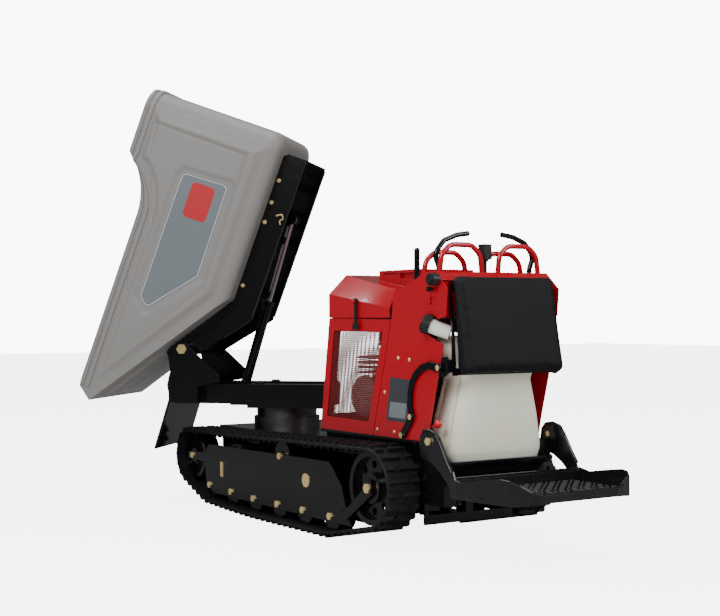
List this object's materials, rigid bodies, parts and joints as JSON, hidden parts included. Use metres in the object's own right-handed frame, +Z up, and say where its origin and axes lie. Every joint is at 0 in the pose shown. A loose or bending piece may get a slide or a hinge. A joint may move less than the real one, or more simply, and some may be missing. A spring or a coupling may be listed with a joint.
{
  "type": "tracked power wheelbarrow",
  "caption": "Tracked stand-on power wheelbarrow whose tub swivels on a turntable and tips forward on a lift cylinder, with engine cowl, control tower and fold-up platform.",
  "frame": {"origin": "middle of the footprint at rest, on the ground", "axes": "+X to the machine's rear, +Y to its right, +Z up"},
  "size_m": [3.2089, 1.4119, 2.1195],
  "materials": {
    "tub_plastic": "moulded, fine grain",
    "red_paint": "gloss powder coat",
    "black_paint": "semi-gloss powder coat",
    "zinc_plate": "yellow zinc plate",
    "chrome_rod": "hard chrome",
    "bare_steel": "machined",
    "belt_rubber": "moulded rubber",
    "latch_rubber": "moulded rubber",
    "mesh_paint": "perforated, painted",
    "pad_vinyl": "matte vinyl",
    "tank_plastic": "natural moulded plastic",
    "black_plastic": "moulded",
    "knob_red": "gloss",
    "platform_paint": "satin powder coat",
    "engine_alloy": "cast"
  },
  "bodies": {
    "chassis": {"main_frame": "black_paint", "slew_ring_lower": "bare_steel", "track_frame_left": "black_paint", "track_frame_right": "black_paint", "track_belt_left": "belt_rubber", "track_belt_right": "belt_rubber", "wheel_motors": "bare_steel", "axle_bolts": "zinc_plate", "cowl_frame": "red_paint", "cowl_mesh": "mesh_paint", "tower_shell": "red_paint", "dash_panel": "black_plastic", "engine": "engine_alloy", "air_filter": "black_plastic", "muffler": "bare_steel", "hydraulic_pump": "bare_steel", "fluid_tank": "tank_plastic", "filler_neck": "black_plastic", "thigh_pad": "pad_vinyl", "pad_frame": "black_paint", "hand_guards": "red_paint", "side_bars": "black_paint"},
    "swivel": {"slew_ring_upper": "bare_steel", "swivel_frame": "black_paint", "front_flap": "black_paint", "pivot_pins": "zinc_plate"},
    "tub": {"tub_shell": "tub_plastic", "tub_cradle": "black_paint", "cradle_bolts": "zinc_plate"},
    "lift_barrel": {"lift_cylinder": "black_paint"},
    "lift_rod": {"lift_rod": "chrome_rod"},
    "platform": {"platform": "platform_paint"},
    "hood": {"hood": "red_paint"},
    "hood_latch": {"hood_latch": "latch_rubber"},
    "filler_cap": {"filler_cap": "black_plastic"},
    "traction_lever_left": {"traction_lever_left": "black_paint"},
    "traction_lever_right": {"traction_lever_right": "black_paint"},
    "dump_lever": {"dump_lever": "black_plastic"},
    "throttle_lever": {"throttle_lever": "black_paint"},
    "choke_knob": {"choke_knob": "black_plastic"},
    "ignition_key": {"ignition_key": "black_plastic"},
    "brake_lever": {"brake_lever": "knob_red"},
    "drive_wheel_left": {"drive_wheel_left": "black_paint"},
    "front_idler_left": {"front_idler_left": "black_paint"},
    "road_roller_left_1": {"road_roller_left_1": "black_paint"},
    "road_roller_left_2": {"road_roller_left_2": "black_paint"},
    "road_roller_left_3": {"road_roller_left_3": "black_paint"},
    "road_roller_left_4": {"road_roller_left_4": "black_paint"},
    "road_roller_left_5": {"road_roller_left_5": "black_paint"},
    "road_roller_left_6": {"road_roller_left_6": "black_paint"},
    "carrier_roller_left": {"carrier_roller_left": "black_paint"},
    "drive_wheel_right": {"drive_wheel_right": "black_paint"},
    "front_idler_right": {"front_idler_right": "black_paint"},
    "road_roller_right_1": {"road_roller_right_1": "black_paint"},
    "road_roller_right_2": {"road_roller_right_2": "black_paint"},
    "road_roller_right_3": {"road_roller_right_3": "black_paint"},
    "road_roller_right_4": {"road_roller_right_4": "black_paint"},
    "road_roller_right_5": {"road_roller_right_5": "black_paint"},
    "road_roller_right_6": {"road_roller_right_6": "black_paint"},
    "carrier_roller_right": {"carrier_roller_right": "black_paint"}
  },
  "joints": [
    {"name": "tub_swivel", "type": "hinge", "parent": "chassis", "child": "swivel", "pos_m": [-0.638, 0.261, 0.45], "axis": [0, 0, 1], "range_deg": [-135, 45]},
    {"name": "tub_tilt", "type": "hinge", "parent": "swivel", "child": "tub", "pos_m": [-0.97882, -0.07982, 0.801], "axis": [-0.7071, 0.7071, 0], "range_deg": [0, 70]},
    {"name": "cylinder_swing", "type": "hinge", "parent": "swivel", "child": "lift_barrel", "pos_m": [-0.79922, 0.09978, 0.6], "axis": [-0.7071, 0.7071, 0], "range_deg": [0, 78.92]},
    {"name": "cylinder_stroke", "type": "slide", "parent": "lift_barrel", "child": "lift_rod", "axis": [0.2024, 0.2024, 0.9582], "range_m": [-0.3552, 0]},
    {"name": "platform_fold", "type": "hinge", "parent": "chassis", "child": "platform", "pos_m": [1.065, 0.261, 0.46], "axis": [0, -1, 0], "range_deg": [0, 80]},
    {"name": "hood_lift", "type": "hinge", "parent": "chassis", "child": "hood", "pos_m": [0.497, 0.566, 0.957], "axis": [-1, 0, 0], "range_deg": [0, 80]},
    {"name": "hood_latch_turn", "type": "hinge", "parent": "hood", "child": "hood_latch", "pos_m": [0.497, -0.045, 1.03], "axis": [0, 1, 0], "range_deg": [0, 60]},
    {"name": "filler_cap_turn", "type": "hinge", "parent": "chassis", "child": "filler_cap", "pos_m": [1.04432, -0.03868, 0.92419], "axis": [-0.6597, -0.6597, 0.3599], "range_deg": [0, 120]},
    {"name": "traction_lever_left_push", "type": "hinge", "parent": "chassis", "child": "traction_lever_left", "pos_m": [1.02, 0.023, 1.112], "axis": [0, 1, 0], "range_deg": [-12, 3.5], "stiffness_Nm_per_rad": 8},
    {"name": "traction_lever_right_push", "type": "hinge", "parent": "chassis", "child": "traction_lever_right", "pos_m": [1.02, 0.499, 1.112], "axis": [0, 1, 0], "range_deg": [-12, 3.5], "stiffness_Nm_per_rad": 8},
    {"name": "dump_lever_push", "type": "hinge", "parent": "chassis", "child": "dump_lever", "pos_m": [1.02, 0.261, 1.112], "axis": [0, 1, 0], "range_deg": [-12, 12], "stiffness_Nm_per_rad": 5},
    {"name": "throttle_lever_push", "type": "hinge", "parent": "chassis", "child": "throttle_lever", "pos_m": [0.832, 0.046, 1.052], "axis": [0, 1, 0], "range_deg": [-15, 15]},
    {"name": "choke_pull", "type": "slide", "parent": "chassis", "child": "choke_knob", "axis": [0, -1, 0], "range_m": [0, 0.015]},
    {"name": "key_turn", "type": "hinge", "parent": "chassis", "child": "ignition_key", "pos_m": [1.049, -0.035, 1.072], "axis": [0, -1, 0], "range_deg": [-90, 45]},
    {"name": "brake_lever_pull", "type": "hinge", "parent": "chassis", "child": "brake_lever", "pos_m": [0.982, -0.0225, 0.5], "axis": [0, -1, 0], "range_deg": [0, 15]},
    {"name": "drive_wheel_left_spin", "type": "hinge", "parent": "chassis", "child": "drive_wheel_left", "pos_m": [0.782, -0.097, 0.25], "axis": [0, 1, 0], "continuous": true},
    {"name": "front_idler_left_spin", "type": "hinge", "parent": "chassis", "child": "front_idler_left", "pos_m": [-0.903, -0.097, 0.246], "axis": [0, 1, 0], "continuous": true},
    {"name": "road_roller_left_1_spin", "type": "hinge", "parent": "chassis", "child": "road_roller_left_1", "pos_m": [-0.708, -0.097, 0.1113], "axis": [0, 1, 0], "continuous": true},
    {"name": "road_roller_left_2_spin", "type": "hinge", "parent": "chassis", "child": "road_roller_left_2", "pos_m": [-0.4765, -0.097, 0.1003], "axis": [0, 1, 0], "continuous": true},
    {"name": "road_roller_left_3_spin", "type": "hinge", "parent": "chassis", "child": "road_roller_left_3", "pos_m": [-0.245, -0.097, 0.0923], "axis": [0, 1, 0], "continuous": true},
    {"name": "road_roller_left_4_spin", "type": "hinge", "parent": "chassis", "child": "road_roller_left_4", "pos_m": [-0.0135, -0.097, 0.0923], "axis": [0, 1, 0], "continuous": true},
    {"name": "road_roller_left_5_spin", "type": "hinge", "parent": "chassis", "child": "road_roller_left_5", "pos_m": [0.218, -0.097, 0.0923], "axis": [0, 1, 0], "continuous": true},
    {"name": "road_roller_left_6_spin", "type": "hinge", "parent": "chassis", "child": "road_roller_left_6", "pos_m": [0.4495, -0.097, 0.0923], "axis": [0, 1, 0], "continuous": true},
    {"name": "carrier_roller_left_spin", "type": "hinge", "parent": "chassis", "child": "carrier_roller_left", "pos_m": [0.011, -0.097, 0.31761], "axis": [0, 1, 0], "continuous": true},
    {"name": "drive_wheel_right_spin", "type": "hinge", "parent": "chassis", "child": "drive_wheel_right", "pos_m": [0.782, 0.619, 0.25], "axis": [0, 1, 0], "continuous": true},
    {"name": "front_idler_right_spin", "type": "hinge", "parent": "chassis", "child": "front_idler_right", "pos_m": [-0.903, 0.619, 0.246], "axis": [0, 1, 0], "continuous": true},
    {"name": "road_roller_right_1_spin", "type": "hinge", "parent": "chassis", "child": "road_roller_right_1", "pos_m": [-0.708, 0.619, 0.1113], "axis": [0, 1, 0], "continuous": true},
    {"name": "road_roller_right_2_spin", "type": "hinge", "parent": "chassis", "child": "road_roller_right_2", "pos_m": [-0.4765, 0.619, 0.1003], "axis": [0, 1, 0], "continuous": true},
    {"name": "road_roller_right_3_spin", "type": "hinge", "parent": "chassis", "child": "road_roller_right_3", "pos_m": [-0.245, 0.619, 0.0923], "axis": [0, 1, 0], "continuous": true},
    {"name": "road_roller_right_4_spin", "type": "hinge", "parent": "chassis", "child": "road_roller_right_4", "pos_m": [-0.0135, 0.619, 0.0923], "axis": [0, 1, 0], "continuous": true},
    {"name": "road_roller_right_5_spin", "type": "hinge", "parent": "chassis", "child": "road_roller_right_5", "pos_m": [0.218, 0.619, 0.0923], "axis": [0, 1, 0], "continuous": true},
    {"name": "road_roller_right_6_spin", "type": "hinge", "parent": "chassis", "child": "road_roller_right_6", "pos_m": [0.4495, 0.619, 0.0923], "axis": [0, 1, 0], "continuous": true},
    {"name": "carrier_roller_right_spin", "type": "hinge", "parent": "chassis", "child": "carrier_roller_right", "pos_m": [0.011, 0.619, 0.31761], "axis": [0, 1, 0], "continuous": true}
  ],
  "couplings": [
    {"joint": "cylinder_swing", "follows": "tub_tilt", "ratio": 1.1266},
    {"joint": "cylinder_stroke", "follows": "tub_tilt", "m_per_rad": -0.2906},
    {"joint": "front_idler_left_spin", "follows": "drive_wheel_left_spin", "ratio": 1.281},
    {"joint": "road_roller_left_1_spin", "follows": "drive_wheel_left_spin", "ratio": 2.4219},
    {"joint": "road_roller_left_2_spin", "follows": "drive_wheel_left_spin", "ratio": 2.4219},
    {"joint": "road_roller_left_3_spin", "follows": "drive_wheel_left_spin", "ratio": 2.4219},
    {"joint": "road_roller_left_4_spin", "follows": "drive_wheel_left_spin", "ratio": 2.4219},
    {"joint": "road_roller_left_5_spin", "follows": "drive_wheel_left_spin", "ratio": 2.4219},
    {"joint": "road_roller_left_6_spin", "follows": "drive_wheel_left_spin", "ratio": 2.4219},
    {"joint": "carrier_roller_left_spin", "follows": "drive_wheel_left_spin", "ratio": 2.2143},
    {"joint": "front_idler_right_spin", "follows": "drive_wheel_right_spin", "ratio": 1.281},
    {"joint": "road_roller_right_1_spin", "follows": "drive_wheel_right_spin", "ratio": 2.4219},
    {"joint": "road_roller_right_2_spin", "follows": "drive_wheel_right_spin", "ratio": 2.4219},
    {"joint": "road_roller_right_3_spin", "follows": "drive_wheel_right_spin", "ratio": 2.4219},
    {"joint": "road_roller_right_4_spin", "follows": "drive_wheel_right_spin", "ratio": 2.4219},
    {"joint": "road_roller_right_5_spin", "follows": "drive_wheel_right_spin", "ratio": 2.4219},
    {"joint": "road_roller_right_6_spin", "follows": "drive_wheel_right_spin", "ratio": 2.4219},
    {"joint": "carrier_roller_right_spin", "follows": "drive_wheel_right_spin", "ratio": 2.2143}
  ]
}
